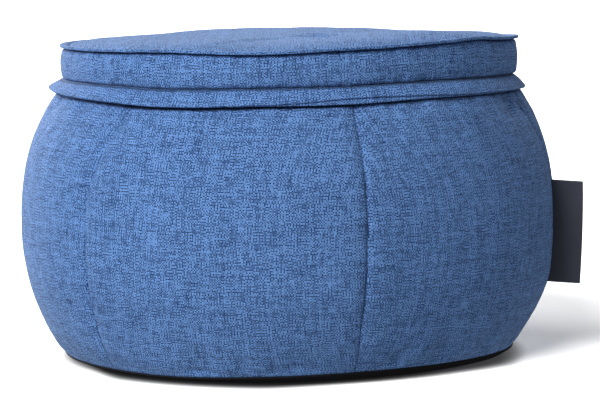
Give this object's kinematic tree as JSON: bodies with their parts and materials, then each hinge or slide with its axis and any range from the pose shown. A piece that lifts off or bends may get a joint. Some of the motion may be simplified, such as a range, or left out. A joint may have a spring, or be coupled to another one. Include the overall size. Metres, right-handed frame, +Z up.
{
  "type": "bean bag footstool",
  "caption": "Low round bean bag footstool: a gored, filled cloth bag on a dark base cloth, with a loose draped flange, a boxed flat pad on top and a bare side label.",
  "frame": {"origin": "centre of the flat underside of the base cloth, on the surface that the stool stands on", "axes": "+Z up, -Y the pictured front, +X toward the side with the label"},
  "size_m": [0.6238, 0.5982, 0.3612],
  "materials": {
    "blue_weave": "plain weave of light and dark blue yarns",
    "dark_base": "matt black cloth",
    "black_ribbon": "black satin ribbon, bare"
  },
  "bodies": {
    "root": {"bag": "blue_weave", "base_panel": "dark_base", "flange_lower": "blue_weave", "flange_upper": "blue_weave", "lid_pad": "blue_weave", "lid_top": "blue_weave", "label": "black_ribbon"}
  },
  "joints": []
}
